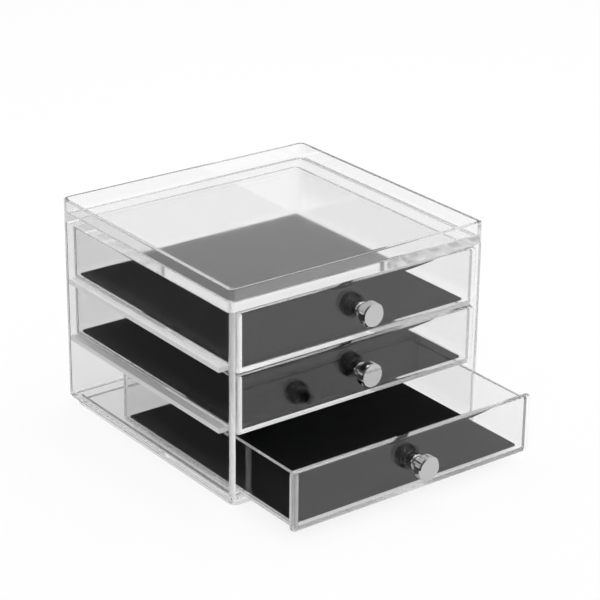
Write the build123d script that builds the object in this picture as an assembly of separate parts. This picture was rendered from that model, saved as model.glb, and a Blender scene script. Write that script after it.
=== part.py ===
from build123d import *
import os

# Clear three-drawer jewellery box. Millimetres, +Z up, origin at the middle of the underside.
# The drawers pull out towards -Y. The bottom drawer rests partly open, the other two are shut.

# Case
case_width = 170.0
case_depth = 166.5
wall = 3.0
rear_wall = 2.2
post_edge = 2.4
post_inner_edge = 0.4
corner_radius = 5.0
inner_corner = 2.0
base_thickness = 4.1
base_edge = 3.0
floor_web = 3.3
sill_clearance = 0.4
sill_depth = 4.5

# Plinth under the case, which nests inside the tray rim of a box below it
plinth_height = 4.0
plinth_width = 3.4
plinth_corner = 5.0
plinth_edge = 1.5
pocket_corner = 1.6
stack_clearance = 1.0

# Tray on top
tray_floor = 4.35
rim_height = 8.5
rim_wall = 2.6
tray_front_corner = 3.0
rim_corner = 1.8
rim_front_corner = 1.8
rim_edge = 0.6
tray_fillet = 1.6

# Glue film under the tray and behind the runners
glue_film = 0.05

# Runners on the side walls
runner_width = 7.0
runner_thickness = 2.8
runner_setback = 13.0
runner_nose = 0.5

# Drawers
front_height = 34.45
front_thickness = 3.0
front_corner = 2.5
front_edge = 2.0
front_gap = 0.8
front_drop = 0.3
front_clearance = 0.6
top_gap = 0.6
box_overhang = 2.6
drawer_wall = 2.0
drawer_floor = 2.0
drawer_corner = 4.0
drawer_inner_corner = 2.2
drawer_edge = 2.0
drawer_inner_edge = 1.0
drawer_lip = 0.5
lift_clearance = 0.6
seat_clearance = 0.1
rear_clearance = 0.6
bottom_opening = 49.5

# Pads lying in the drawers
pad_thickness = 1.6
pad_side_margin = 1.6
pad_front_margin = 3.0
pad_rear_margin = 2.9
pad_corner = 1.0

# Knobs and their screws
knob_diameter = 14.0
knob_head = 5.0
knob_bevel = 0.7
knob_back_edge = 0.4
knob_neck_diameter = 7.2
knob_neck = 6.0
knob_neck_fillet = 1.6
knob_collar_diameter = 8.6
knob_collar = 1.2
knob_collar_edge = 0.5
screw_diameter = 4.0
screw_head_diameter = 6.4
screw_head = 2.0
screw_head_edge = 0.6
screw_reach = 6.4
screw_slot_length = 4.0
screw_slot_width = 1.0
screw_slot_depth = 1.1
hole_clearance = 0.4
thread_clearance = 0.1
bore_relief = 0.6

# How far a cutting tool runs past the face that it opens
overrun = 2.0

# Heights, from the floor up
drawer_names = ("bottom", "middle", "top")
opened_by = {"bottom": bottom_opening, "middle": 0.0, "top": 0.0}
base_top = plinth_height + base_thickness
pitch = front_height + front_gap
front_foot = base_top - front_drop
tray_foot = front_foot + len(drawer_names) * pitch + top_gap
tray_top = tray_foot + tray_floor
rim_top = tray_top + rim_height
wall_head = tray_foot - glue_film
box_height = pitch - runner_thickness - lift_clearance

# Places in plan
case_front = -case_depth / 2
case_rear = case_depth / 2
inner_half = case_width / 2 - wall
inner_rear = case_rear - rear_wall
plinth_inset = rim_wall + stack_clearance
front_half = inner_half - front_clearance
front_rear = case_front + front_thickness
box_half = front_half - box_overhang
box_rear = inner_rear - rear_clearance
box_inner_half = box_half - drawer_wall
box_inner_rear = box_rear - drawer_wall


def block(x_span, y_span, z_span):
    """A box between two places along each axis."""
    size = [high - low for low, high in (x_span, y_span, z_span)]
    centre = [(low + high) / 2 for low, high in (x_span, y_span, z_span)]
    return Pos(*centre) * Box(*size)


def rear_rounded(half_width, y_front, y_rear, radius, z_foot, z_head):
    """An upright prism, square at the front, with its two rear corners rounded."""
    outline = Pos(0, (y_front + y_rear) / 2) * Rectangle(2 * half_width, y_rear - y_front)
    outline = fillet(outline.vertices().group_by(Axis.Y)[-1], radius)
    return extrude(Pos(0, 0, z_foot) * outline, amount=z_head - z_foot)


def all_rounded(width, depth, front_radius, rear_radius, z_foot, z_head):
    """An upright prism, centred in plan, with its front and rear corners rounded."""
    outline = Rectangle(width, depth)
    outline = fillet(outline.vertices().group_by(Axis.Y)[0], front_radius)
    outline = fillet(outline.vertices().group_by(Axis.Y)[-1], rear_radius)
    return extrude(Pos(0, 0, z_foot) * outline, amount=z_head - z_foot)


def edges_at(solid, height):
    """The edges that lie flat at a height."""
    return solid.edges().filter_by_position(Axis.Z, height, height)


def make_case_body():
    """Side walls, back, floor and plinth, moulded in one piece and open at the front."""
    shell = rear_rounded(case_width / 2, case_front, case_rear, corner_radius, plinth_height, wall_head)
    shell = fillet(edges_at(shell, plinth_height), base_edge)
    plinth = all_rounded(
        case_width - 2 * plinth_inset,
        case_depth - 2 * plinth_inset,
        plinth_corner,
        plinth_corner,
        0,
        base_top,
    )
    plinth = fillet(edges_at(plinth, 0), plinth_edge)
    bay = rear_rounded(
        inner_half, case_front - overrun, inner_rear, inner_corner, base_top, tray_foot + overrun
    )
    sill = block(
        (-inner_half, inner_half),
        (case_front - overrun, case_front + sill_depth),
        (front_foot - sill_clearance, base_top + overrun),
    )
    pocket_inset = plinth_inset + plinth_width
    pocket = all_rounded(
        case_width - 2 * pocket_inset,
        case_depth - 2 * pocket_inset,
        pocket_corner,
        pocket_corner,
        -overrun,
        base_top - floor_web,
    )
    body = shell + plinth - bay - sill - pocket
    posts = body.edges().filter_by(Axis.Z).group_by(Axis.Y)[0].sort_by(Axis.X)
    body = fillet([posts[0], posts[-1]], post_edge)
    posts = body.edges().filter_by(Axis.Z).group_by(Axis.Y)[0].sort_by(Axis.X)
    return fillet(posts[1:-1], post_inner_edge)


def make_top_tray():
    """The tray bonded on the walls: a floor that roofs the drawers and a rim all round."""
    tray = all_rounded(case_width, case_depth, tray_front_corner, corner_radius, tray_foot, rim_top)
    hollow = all_rounded(
        case_width - 2 * rim_wall,
        case_depth - 2 * rim_wall,
        rim_front_corner,
        rim_corner,
        tray_top,
        rim_top + overrun,
    )
    hollow = fillet(edges_at(hollow, tray_top), tray_fillet)
    tray = tray - hollow
    return fillet(edges_at(tray, rim_top), rim_edge)


def make_runner(side, level):
    """A strip on a side wall that carries the drawer of the given level."""
    seat = base_top + level * pitch
    outer = inner_half - glue_film
    strip = block(
        (inner_half - runner_width, outer),
        (case_front + runner_setback, inner_rear - inner_corner),
        (seat - runner_thickness, seat),
    )
    nose = strip.edges().filter_by(Axis.Z).sort_by(Axis.X)[:2].sort_by(Axis.Y)[0]
    strip = fillet(nose, runner_nose)
    return strip if side > 0 else mirror(strip, about=Plane.YZ)


def make_drawer(foot):
    """A shut drawer: an open box and its overhanging front, moulded in one piece."""
    head = foot + box_height
    box = rear_rounded(box_half, front_rear, box_rear, drawer_corner, foot, head)
    underside = edges_at(box, foot)
    box = fillet(underside - underside.group_by(Axis.Y)[0], drawer_edge)
    hollow = rear_rounded(
        box_inner_half, front_rear, box_inner_rear, drawer_inner_corner, foot + drawer_floor, head + overrun
    )
    box = box - fillet(edges_at(hollow, foot + drawer_floor), drawer_inner_edge)
    brim = edges_at(box, head)
    box = fillet(brim - brim.filter_by_position(Axis.Y, front_rear, front_rear), drawer_lip)
    middle = foot - front_drop + front_height / 2
    outline = Plane.XZ * RectangleRounded(2 * front_half, front_height, front_corner)
    front = Pos(0, front_rear, middle) * extrude(outline, amount=front_thickness)
    front = fillet(front.edges().group_by(Axis.Y)[0], front_edge)
    hole = Pos(0, front_rear, middle) * Rot(90, 0, 0) * Cylinder(
        (screw_diameter + hole_clearance) / 2, 2 * (front_thickness + overrun)
    )
    return front + box - hole


def make_pad(foot):
    """A thin black sheet lying on the floor of a shut drawer."""
    half_width = box_inner_half - pad_side_margin
    y_front = front_rear + pad_front_margin
    y_rear = box_inner_rear - pad_rear_margin
    outline = RectangleRounded(2 * half_width, y_rear - y_front, pad_corner)
    seat = Pos(0, (y_front + y_rear) / 2, foot + drawer_floor)
    return seat * extrude(outline, amount=pad_thickness)


def upright_cylinder(diameter, z_foot, z_head):
    """A cylinder on the Z axis between two heights."""
    return Pos(0, 0, (z_foot + z_head) / 2) * Cylinder(diameter / 2, z_head - z_foot)


def make_knob(foot):
    """A flat-faced knob: a disc head on a neck that stands on the drawer front."""
    tip = knob_neck + knob_head
    head = upright_cylinder(knob_diameter, knob_neck, tip)
    head = chamfer(edges_at(head, tip), knob_bevel)
    head = fillet(edges_at(head, knob_neck), knob_back_edge)
    knob = head + upright_cylinder(knob_neck_diameter, 0, knob_neck)
    root = edges_at(knob, knob_neck).sort_by(SortBy.RADIUS)[0]
    knob = fillet(root, knob_neck_fillet)
    collar = upright_cylinder(knob_collar_diameter, 0, knob_collar)
    knob = knob + fillet(edges_at(collar, knob_collar), knob_collar_edge)
    knob = knob - upright_cylinder(screw_diameter + thread_clearance, -overrun, screw_reach + bore_relief)
    return Pos(0, case_front, foot - front_drop + front_height / 2) * Rot(90, 0, 0) * knob


def make_screw(foot):
    """The slotted screw that holds a knob from inside the drawer."""
    head = upright_cylinder(screw_head_diameter, -screw_head, 0)
    head = fillet(edges_at(head, -screw_head), screw_head_edge)
    slot = block(
        (-screw_slot_length / 2, screw_slot_length / 2),
        (-screw_slot_width / 2, screw_slot_width / 2),
        (-screw_head - overrun, screw_slot_depth - screw_head),
    )
    screw = head + upright_cylinder(screw_diameter, 0, front_thickness + screw_reach) - slot
    return Pos(0, front_rear, foot - front_drop + front_height / 2) * Rot(90, 0, 0) * screw


pieces = {"case_body": make_case_body(), "top_tray": make_top_tray()}
for side_name, side in (("left", -1), ("right", 1)):
    for level, name in enumerate(drawer_names):
        if level > 0:
            pieces[f"runner_{name}_{side_name}"] = make_runner(side, level)
for level, name in enumerate(drawer_names):
    foot = base_top + seat_clearance + level * pitch
    pulled = Pos(0, -opened_by[name], 0)
    pieces[f"drawer_{name}"] = pulled * make_drawer(foot)
    pieces[f"pad_{name}"] = pulled * make_pad(foot)
    pieces[f"knob_{name}"] = pulled * make_knob(foot)
    pieces[f"screw_{name}"] = pulled * make_screw(foot)

os.makedirs("parts", exist_ok=True)
for name, piece in pieces.items():
    piece.label = name
    export_step(piece, f"parts/{name}.step")
print("whole height", rim_top, "pitch", pitch, "box height", box_height)
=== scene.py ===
"""Dress the clear three-drawer jewellery box and set it in a plain white studio.

Everything is in metres, in the frame of the solids: +Z up, the origin at the middle of the
underside, and the drawers pull out towards -Y.
"""
import logging
import math
from dataclasses import dataclass
from enum import Enum
from typing import Optional

import bmesh
import bpy
from mathutils import Matrix, Vector, noise

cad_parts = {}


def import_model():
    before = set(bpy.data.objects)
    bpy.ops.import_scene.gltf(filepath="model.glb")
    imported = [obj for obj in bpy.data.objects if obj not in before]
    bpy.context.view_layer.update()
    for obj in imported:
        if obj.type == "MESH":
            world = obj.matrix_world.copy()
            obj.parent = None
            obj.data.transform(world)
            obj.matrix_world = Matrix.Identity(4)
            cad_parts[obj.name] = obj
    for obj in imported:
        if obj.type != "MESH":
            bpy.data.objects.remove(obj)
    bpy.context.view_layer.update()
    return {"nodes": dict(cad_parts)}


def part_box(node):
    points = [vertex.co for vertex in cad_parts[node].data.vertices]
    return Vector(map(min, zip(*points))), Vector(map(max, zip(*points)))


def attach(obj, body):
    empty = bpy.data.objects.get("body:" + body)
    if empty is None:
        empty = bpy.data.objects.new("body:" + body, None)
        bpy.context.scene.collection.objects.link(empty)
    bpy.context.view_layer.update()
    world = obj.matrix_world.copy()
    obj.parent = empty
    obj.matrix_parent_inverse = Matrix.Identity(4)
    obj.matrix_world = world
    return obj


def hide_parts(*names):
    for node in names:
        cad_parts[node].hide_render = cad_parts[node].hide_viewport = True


LOG = logging.getLogger("jewellery_box")
MILLIMETRE = 0.001
BOUNCES = 128
Colour = tuple[float, float, float]
Span = tuple[float, float]


class Level(Enum):
    """The three storeys of the box, by the word that their nodes end in."""

    BOTTOM = "bottom"
    MIDDLE = "middle"
    TOP = "top"


class Side(Enum):
    """The two side walls, by the word that their runners end in."""

    LEFT = "left"
    RIGHT = "right"


class ShaderSheet:
    """A node tree that is filled one named node at a time."""

    def __init__(self, owner: bpy.types.ID) -> None:
        """Empty the node tree of a material or a world.

        Args:
            owner: the material or world whose tree is filled.
        """
        owner.use_nodes = True
        self.tree = owner.node_tree
        self.tree.nodes.clear()

    def add(self, kind: str, settings: Optional[dict] = None, **inputs: object) -> bpy.types.Node:
        """Add a node, set its own settings and fill its inputs.

        Args:
            kind: the node's type name.
            settings: the node's attributes, such as its operation.
            inputs: values or sockets for its inputs. An underscore stands for a space in an
                input's name, and in_0, in_1 and so on pick an input by its place.

        Returns:
            The new node.
        """
        node = self.tree.nodes.new(kind)
        for name, value in (settings or {}).items():
            setattr(node, name, value)
        for name, value in inputs.items():
            key = int(name[3:]) if name.startswith("in_") else name.replace("_", " ")
            socket = node.inputs[key]
            if isinstance(value, bpy.types.NodeSocket):
                self.tree.links.new(value, socket)
            else:
                socket.default_value = value
        return node

    def math(self, operation: str, first: object, second: object = 0.0) -> bpy.types.NodeSocket:
        """Add a Math node.

        Args:
            operation: what it works out.
            first: its first number or socket.
            second: its second number or socket.

        Returns:
            The result's socket.
        """
        node = self.add("ShaderNodeMath", {"operation": operation}, in_0=first, in_1=second)
        return node.outputs[0]

    def ramp(
        self, value: bpy.types.NodeSocket, start: Span, end: Span, smooth: bool = False
    ) -> bpy.types.NodeSocket:
        """Carry a value from one span to another and hold it at both ends.

        Args:
            value: the socket to read.
            start: the span that it is read over.
            end: the span that it is carried to.
            smooth: True eases it in and out.

        Returns:
            The new value's socket.
        """
        kind = "SMOOTHSTEP" if smooth else "LINEAR"
        node = self.add("ShaderNodeMapRange", {"interpolation_type": kind}, Value=value)
        node.inputs["From Min"].default_value, node.inputs["From Max"].default_value = start
        node.inputs["To Min"].default_value, node.inputs["To Max"].default_value = end
        return node.outputs["Result"]

    def cloud(
        self, place: bpy.types.NodeSocket, spot: float, detail: float = 2.0
    ) -> bpy.types.NodeSocket:
        """Add a soft noise whose spots have a real size.

        Args:
            place: the coordinates.
            spot: the size of one spot, in metres.
            detail: how many finer layers lie over it.

        Returns:
            The noise's value, from 0 to 1.
        """
        node = self.add("ShaderNodeTexNoise", Vector=place, Scale=1.0 / spot, Detail=detail)
        return node.outputs["Fac"]

    def place(self) -> bpy.types.NodeSocket:
        """Return the point on the piece, in metres."""
        return self.add("ShaderNodeTexCoord").outputs["Object"]


@dataclass(frozen=True)
class ClearPlastic:
    """Clear plastic with faint flow ripples and a breath of haze from handling."""

    name: str = "clear_moulding"
    tint: Colour = (0.998, 0.998, 0.998)
    clarity: float = 1.0
    ior: float = 1.5
    ripple_size: float = 34 * MILLIMETRE
    ripple_depth: float = 0.006 * MILLIMETRE
    haze_size: float = 48 * MILLIMETRE
    haze_detail: float = 5.0
    haze_span: Span = (0.35, 0.75)
    haze: Span = (0.03, 0.06)

    def material(self) -> bpy.types.Material:
        """Build the material.

        Returns:
            The clear plastic.
        """
        made = bpy.data.materials.new(self.name)
        sheet = ShaderSheet(made)
        place = sheet.place()
        ripples = sheet.cloud(place, self.ripple_size)
        bump = sheet.add("ShaderNodeBump", Strength=1.0, Distance=self.ripple_depth, Height=ripples)
        breath = sheet.cloud(place, self.haze_size, self.haze_detail)
        haze = sheet.ramp(breath, self.haze_span, self.haze)
        plastic = sheet.add(
            "ShaderNodeBsdfPrincipled",
            Base_Color=(*self.tint, 1.0),
            Roughness=haze,
            IOR=self.ior,
            Transmission_Weight=self.clarity,
            Normal=bump.outputs["Normal"],
        )
        sheet.add("ShaderNodeOutputMaterial", Surface=plastic.outputs[0])
        return made


@dataclass(frozen=True)
class BlackFelt:
    """Matt black felted sheet: short matted fibres, a little lint and a soft nap."""

    name: str = "black_felt"
    dark: Colour = (0.001, 0.001, 0.0011)
    light: Colour = (0.006, 0.006, 0.0064)
    fibre_size: float = 0.5 * MILLIMETRE
    fibre_depth: float = 0.12 * MILLIMETRE
    fibre_detail: float = 4.0
    mottle_size: float = 14 * MILLIMETRE
    mottle_detail: float = 3.0
    mottle_span: Span = (0.3, 0.7)
    mottle: Span = (0.6, 1.3)
    roughness: float = 0.95
    gloss: float = 0.15
    nap: float = 0.01
    nap_roughness: float = 0.6

    def material(self) -> bpy.types.Material:
        """Build the material.

        Returns:
            The felt.
        """
        made = bpy.data.materials.new(self.name)
        sheet = ShaderSheet(made)
        place = sheet.place()
        fibres = sheet.cloud(place, self.fibre_size, self.fibre_detail)
        mottle = sheet.cloud(place, self.mottle_size, self.mottle_detail)
        shade = sheet.math("MULTIPLY", fibres, sheet.ramp(mottle, self.mottle_span, self.mottle))
        tone = sheet.add(
            "ShaderNodeMix",
            {"data_type": "RGBA"},
            in_0=shade,
            in_6=(*self.dark, 1.0),
            in_7=(*self.light, 1.0),
        )
        bump = sheet.add("ShaderNodeBump", Strength=1.0, Distance=self.fibre_depth, Height=fibres)
        felt = sheet.add(
            "ShaderNodeBsdfPrincipled",
            Base_Color=tone.outputs[2],
            Roughness=self.roughness,
            Specular_IOR_Level=self.gloss,
            Sheen_Weight=self.nap,
            Sheen_Roughness=self.nap_roughness,
            Normal=bump.outputs["Normal"],
        )
        sheet.add("ShaderNodeOutputMaterial", Surface=felt.outputs[0])
        return made


@dataclass(frozen=True)
class PolishedMetal:
    """A bare or plated metal with a fine grain and faint handling marks."""

    name: str
    colour: Colour
    roughness: Span
    grain_size: float
    grain_depth: float
    grain_detail: float = 3.0
    marks_per_grain: float = 6.0
    marks_span: Span = (0.3, 0.7)

    def material(self) -> bpy.types.Material:
        """Build the material.

        Returns:
            The metal.
        """
        made = bpy.data.materials.new(self.name)
        sheet = ShaderSheet(made)
        place = sheet.place()
        grain = sheet.cloud(place, self.grain_size, self.grain_detail)
        marks = sheet.cloud(place, self.marks_per_grain * self.grain_size)
        bump = sheet.add("ShaderNodeBump", Strength=1.0, Distance=self.grain_depth, Height=grain)
        metal = sheet.add(
            "ShaderNodeBsdfPrincipled",
            Base_Color=(*self.colour, 1.0),
            Metallic=1.0,
            Roughness=sheet.ramp(marks, self.marks_span, self.roughness),
            Normal=bump.outputs["Normal"],
        )
        sheet.add("ShaderNodeOutputMaterial", Surface=metal.outputs[0])
        return made


SATIN_STRIP = ClearPlastic(
    name="satin_strip",
    tint=(0.99, 0.99, 0.99),
    clarity=0.1,
    haze=(0.35, 0.5),
)
CHROME = PolishedMetal(
    name="polished_chrome",
    colour=(0.6, 0.6, 0.605),
    roughness=(0.02, 0.07),
    grain_size=0.4 * MILLIMETRE,
    grain_depth=0.0008 * MILLIMETRE,
)
STEEL = PolishedMetal(
    name="blackened_steel",
    colour=(0.04, 0.04, 0.042),
    roughness=(0.3, 0.45),
    grain_size=0.3 * MILLIMETRE,
    grain_depth=0.01 * MILLIMETRE,
)


@dataclass
class Finishes:
    """The box's materials, made once and shared."""

    plastic: bpy.types.Material
    strip: bpy.types.Material
    felt: bpy.types.Material
    chrome: bpy.types.Material
    steel: bpy.types.Material

    @classmethod
    def make(cls) -> "Finishes":
        """Build them all."""
        kinds = (ClearPlastic(), SATIN_STRIP, BlackFelt(), CHROME, STEEL)
        return cls(*[kind.material() for kind in kinds])


def dress(nodes: dict[str, bpy.types.Object], name: str, material: bpy.types.Material) -> None:
    """Give a solid's object its material.

    Args:
        nodes: the frame's objects by name.
        name: the node's name.
        material: what it is made of.
    """
    nodes[name].material_slots[0].material = material
    LOG.info("%s is dressed in %s", name, material.name)


@dataclass
class Case:
    """The fixed shell: the moulded case, the tray bonded on it and the drawer runners."""

    nodes: dict[str, bpy.types.Object]
    finishes: Finishes

    def build(self) -> None:
        """Dress the mouldings in clear plastic and the runners as satin strips of it."""
        for name in ("case_body", "top_tray"):
            dress(self.nodes, name, self.finishes.plastic)
        for level in (Level.MIDDLE, Level.TOP):
            for side in Side:
                dress(self.nodes, f"runner_{level.value}_{side.value}", self.finishes.strip)


@dataclass
class Drawer:
    """One drawer with its knob, its screw and the felt sheet that lies in it."""

    nodes: dict[str, bpy.types.Object]
    finishes: Finishes
    level: Level
    corner: float = 1.0 * MILLIMETRE
    corner_steps: int = 5
    edge: float = 0.35 * MILLIMETRE
    edge_steps: int = 3
    rim_angle: float = math.radians(60)
    crease_angle: float = math.radians(40)
    lift: float = 0.15 * MILLIMETRE
    wave: float = 0.1 * MILLIMETRE
    wave_length: float = 45 * MILLIMETRE
    cell: float = 6 * MILLIMETRE

    def build(self) -> None:
        """Dress the drawer's solids and lay its pad."""
        word = self.level.value
        dress(self.nodes, f"drawer_{word}", self.finishes.plastic)
        dress(self.nodes, f"knob_{word}", self.finishes.chrome)
        dress(self.nodes, f"screw_{word}", self.finishes.steel)
        self.lay_pad(f"pad_{word}", f"{word}_drawer")

    def lay_pad(self, node: str, body: str) -> None:
        """Model the loose sheet in the space of its solid.

        Args:
            node: the pad's solid.
            body: the body that it travels with.
        """
        low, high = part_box(node)
        mesh = bpy.data.meshes.new(f"{node}_sheet")
        shape = self.cut_sheet(low, high)
        shape.to_mesh(mesh)
        shape.free()
        pad = bpy.data.objects.new(f"{node}_sheet", mesh)
        bpy.context.scene.collection.objects.link(pad)
        mesh.materials.append(self.finishes.felt)
        for face in mesh.polygons:
            face.use_smooth = True
        mesh.set_sharp_from_angle(angle=self.crease_angle)
        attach(pad, body)
        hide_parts(node)
        LOG.info("%s lies in %s", pad.name, body)

    def round_off(
        self, shape: bmesh.types.BMesh, parts: list, affect: str, radius: float, steps: int
    ) -> None:
        """Round corners or edges of a shape.

        Args:
            shape: the shape to work on.
            parts: its vertices or edges to round.
            affect: VERTICES or EDGES.
            radius: how far the round reaches.
            steps: how many facets it has.
        """
        bmesh.ops.bevel(
            shape,
            geom=parts,
            offset=radius,
            affect=affect,
            segments=steps,
            profile=0.5,
            material=-1,
        )

    def cut_sheet(self, low: Vector, high: Vector) -> bmesh.types.BMesh:
        """Cut a sheet with round corners, let it undulate and give it its thickness.

        Args:
            low: the lowest corner of its space.
            high: the highest corner of its space.

        Returns:
            The sheet.
        """
        size, middle = high - low, (high + low) / 2
        counts = [max(2, round(length / self.cell)) for length in size.xy]
        shape = bmesh.new()
        bmesh.ops.create_grid(shape, x_segments=counts[0], y_segments=counts[1], size=0.5)
        bmesh.ops.scale(shape, vec=(size.x, size.y, 1.0), verts=shape.verts)
        corners = [vert for vert in shape.verts if len(vert.link_edges) == 2]
        self.round_off(shape, corners, "VERTICES", self.corner, self.corner_steps)
        bmesh.ops.translate(shape, vec=(middle.x, middle.y, high.z - self.wave), verts=shape.verts)
        for vert in shape.verts:
            vert.co.z += self.wave * noise.noise(vert.co / self.wave_length)
        thickness = size.z - self.lift - 2 * self.wave
        sheet = bmesh.ops.extrude_face_region(shape, geom=shape.faces[:])
        under = [item for item in sheet["geom"] if isinstance(item, bmesh.types.BMVert)]
        bmesh.ops.translate(shape, vec=(0.0, 0.0, -thickness), verts=under)
        bmesh.ops.recalc_face_normals(shape, faces=shape.faces)
        rim = [edge for edge in shape.edges if abs(edge.calc_face_angle(0.0)) > self.rim_angle]
        rim = [edge for edge in rim if abs(edge.verts[0].co.z - edge.verts[1].co.z) < thickness / 2]
        self.round_off(shape, rim, "EDGES", self.edge, self.edge_steps)
        bmesh.ops.recalc_face_normals(shape, faces=shape.faces)
        return shape


@dataclass(frozen=True)
class PaleFloor:
    """A white sweep that keeps the box's shadow, with a painted dark reflection on its left: a strip
    that only mirrored rays see dark, for the left walls to mirror.

    Glossy Depth counts how often a ray was mirrored: 0 went straight through the plastic, 1 was
    mirrored once, and more was piped along inside a wall.
    """

    name: str = "white_sweep"
    paper: float = 0.9
    glow: float = 0.86
    through_glow: float = 0.6
    piped_glow: float = 0.3
    # Span and tones of the painted dark reflection: the floor's left strip is dark only to mirrored
    # rays, near black when mirrored once and grey when piped.
    painted_reflection_from: float = -0.072
    painted_reflection_to: float = -0.084
    painted_reflection_tone: float = 0.03
    painted_piped_reflection_tone: float = 0.4

    def material(self) -> bpy.types.Material:
        """Build the material.

        Returns:
            The floor's paper.
        """
        made = bpy.data.materials.new(self.name)
        sheet = ShaderSheet(made)
        path = sheet.add("ShaderNodeLightPath")
        depth = path.outputs["Glossy Depth"]
        inner = sheet.math("MAXIMUM", path.outputs["Is Glossy Ray"], path.outputs["Is Transmission Ray"])
        mirrored = sheet.math("MINIMUM", depth, 1.0)
        # Painted reflection: how dark the left strip looks to a ray mirrored once or piped along inside
        # a wall.
        tone = sheet.ramp(depth, (1.0, 2.0), (self.painted_reflection_tone, self.painted_piped_reflection_tone))
        across = sheet.add("ShaderNodeSeparateXYZ", Vector=sheet.place()).outputs["X"]
        # Mask of the left strip that is painted dark in reflections only.
        painted_reflection_mask = sheet.ramp(across, (self.painted_reflection_from, self.painted_reflection_to), (0.0, 1.0), smooth=True)
        painted_reflection_area = sheet.math("MULTIPLY", mirrored, painted_reflection_mask)
        painted_reflection_loss = sheet.math("MULTIPLY", painted_reflection_area, sheet.math("SUBTRACT", 1.0, tone))
        strength = sheet.math("SUBTRACT", 1.0, painted_reflection_loss)
        direct = sheet.math("MULTIPLY", path.outputs["Is Camera Ray"], self.glow)
        depth_glow = sheet.ramp(depth, (0.0, 1.0), (self.through_glow, self.piped_glow))
        share = sheet.math("MAXIMUM", direct, sheet.math("MULTIPLY", inner, depth_glow))
        paper = sheet.add("ShaderNodeBsdfDiffuse", Color=sheet.math("MULTIPLY", strength, self.paper))
        glow = sheet.add("ShaderNodeEmission", Strength=strength)
        both = sheet.add(
            "ShaderNodeMixShader", in_0=share, in_1=paper.outputs[0], in_2=glow.outputs[0]
        )
        sheet.add("ShaderNodeOutputMaterial", Surface=both.outputs[0])
        return made


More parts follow.
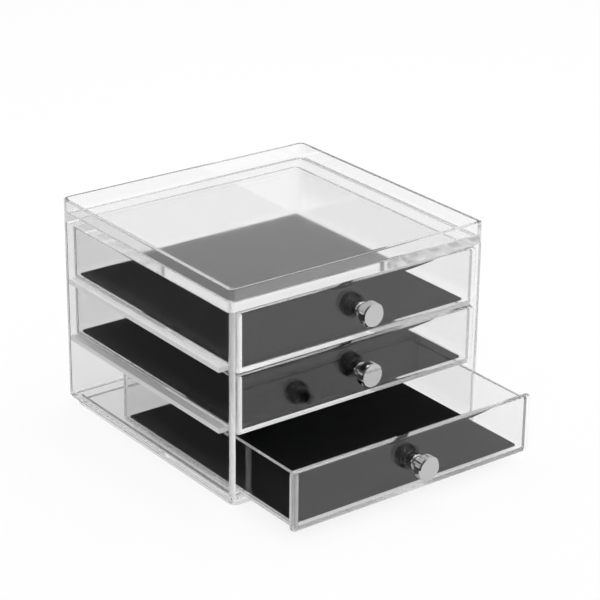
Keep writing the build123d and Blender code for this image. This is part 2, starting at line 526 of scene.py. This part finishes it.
@dataclass
class Studio:
    """The white room round the box: sweep, sky, one softbox, a painted dim reflection on one side that
    only mirrors see, and the camera.
    """

    floor_size: float = 12.0
    floor_drop: float = 0.2 * MILLIMETRE
    # Direction, span and tone of the painted dim reflection that mirrored rays see in the sky.
    painted_dim_side: tuple[float, float, float] = (-0.6, -0.8, 0.0)
    painted_dim_span: Span = (0.2, 0.7)
    painted_dim_tone: float = 0.15
    softbox_size: float = 1.0
    softbox_watts: float = 6.0
    softbox_place: tuple[float, float, float] = (0.25, 0.1, 1.25)
    camera_place: tuple[float, float, float] = (-0.669636, -0.917612, 0.552179)
    heading: float = 36.9952
    dip: float = 22.8946
    lean: float = -0.6064
    lens: float = 130.84

    def build(self) -> None:
        """Set up the whole room."""
        self.lay_floor()
        self.light_sky()
        self.hang_softbox()
        self.place_camera()
        scene = bpy.context.scene
        scene.view_settings.view_transform = "Standard"
        scene.cycles.blur_glossy = 0.0
        scene.cycles.max_bounces = BOUNCES
        scene.cycles.glossy_bounces = BOUNCES
        scene.cycles.transmission_bounces = BOUNCES

    def lay_floor(self) -> None:
        """Lay the sweep just under the plinth."""
        shape = bmesh.new()
        bmesh.ops.create_grid(shape, x_segments=1, y_segments=1, size=self.floor_size / 2)
        bmesh.ops.translate(shape, vec=(0.0, 0.0, -self.floor_drop), verts=shape.verts)
        mesh = bpy.data.meshes.new("sweep")
        shape.to_mesh(mesh)
        shape.free()
        mesh.materials.append(PaleFloor().material())
        floor = bpy.data.objects.new("sweep", mesh)
        bpy.context.scene.collection.objects.link(floor)

    def light_sky(self) -> None:
        """Make a white sky, a plain fill light on matt surfaces, with a painted dim reflection on one
        side that only mirrors see.
        """
        world = bpy.data.worlds.new("white_room")
        bpy.context.scene.world = world
        sheet = ShaderSheet(world)
        mirrored = sheet.math("MINIMUM", sheet.add("ShaderNodeLightPath").outputs["Glossy Depth"], 1.0)
        towards = sheet.add(
            "ShaderNodeVectorMath",
            {"operation": "DOT_PRODUCT"},
            in_0=sheet.add("ShaderNodeTexCoord").outputs["Generated"],
            in_1=self.painted_dim_side,
        )
        # Painted reflection: the sky darkens towards the dim side for mirrored rays only.
        tone = sheet.ramp(towards.outputs["Value"], self.painted_dim_span, (1.0, self.painted_dim_tone), smooth=True)
        painted_reflection_loss = sheet.math("MULTIPLY", mirrored, sheet.math("SUBTRACT", 1.0, tone))
        sky = sheet.add("ShaderNodeBackground", Strength=sheet.math("SUBTRACT", 1.0, painted_reflection_loss))
        sheet.add("ShaderNodeOutputWorld", Surface=sky.outputs[0])

    def hang_softbox(self) -> None:
        """Hang the softbox over the box, facing straight down."""
        lamp = bpy.data.lights.new("softbox", "AREA")
        lamp.shape = "SQUARE"
        lamp.size = self.softbox_size
        lamp.energy = self.softbox_watts
        softbox = bpy.data.objects.new("softbox", lamp)
        softbox.location = self.softbox_place
        bpy.context.scene.collection.objects.link(softbox)

    def place_camera(self) -> None:
        """Stand the camera in front of the left corner, looking down at the box."""
        heading, dip = math.radians(self.heading), math.radians(self.dip)
        level_ahead = Vector((math.sin(heading), math.cos(heading), 0.0))
        ahead = level_ahead * math.cos(dip) - Vector((0.0, 0.0, math.sin(dip)))
        right = Vector((math.cos(heading), -math.sin(heading), 0.0))
        turn = Matrix((right, right.cross(ahead), -ahead)).transposed().to_4x4()
        lens = bpy.data.cameras.new("portrait")
        lens.lens = self.lens
        camera = bpy.data.objects.new("portrait", lens)
        lean = Matrix.Rotation(-math.radians(self.lean), 4, "Z")
        camera.matrix_world = Matrix.Translation(self.camera_place) @ turn @ lean
        bpy.context.scene.collection.objects.link(camera)
        bpy.context.scene.camera = camera


def corners(box: tuple[Vector, Vector]) -> list[list[float]]:
    """Return a box's two corners as plain lists.

    Args:
        box: the lowest and the highest corner.

    Returns:
        The same corners as lists of numbers.
    """
    return [list(corner) for corner in box]


def main() -> None:
    """Load the solids, dress them, lay the pads and set up the studio."""
    logging.basicConfig(level=logging.INFO, format="%(message)s")
    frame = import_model()
    finishes = Finishes.make()
    Case(frame["nodes"], finishes).build()
    for level in Level:
        Drawer(frame["nodes"], finishes, level).build()
    Studio().build()


if __name__ == "__main__":
    main()
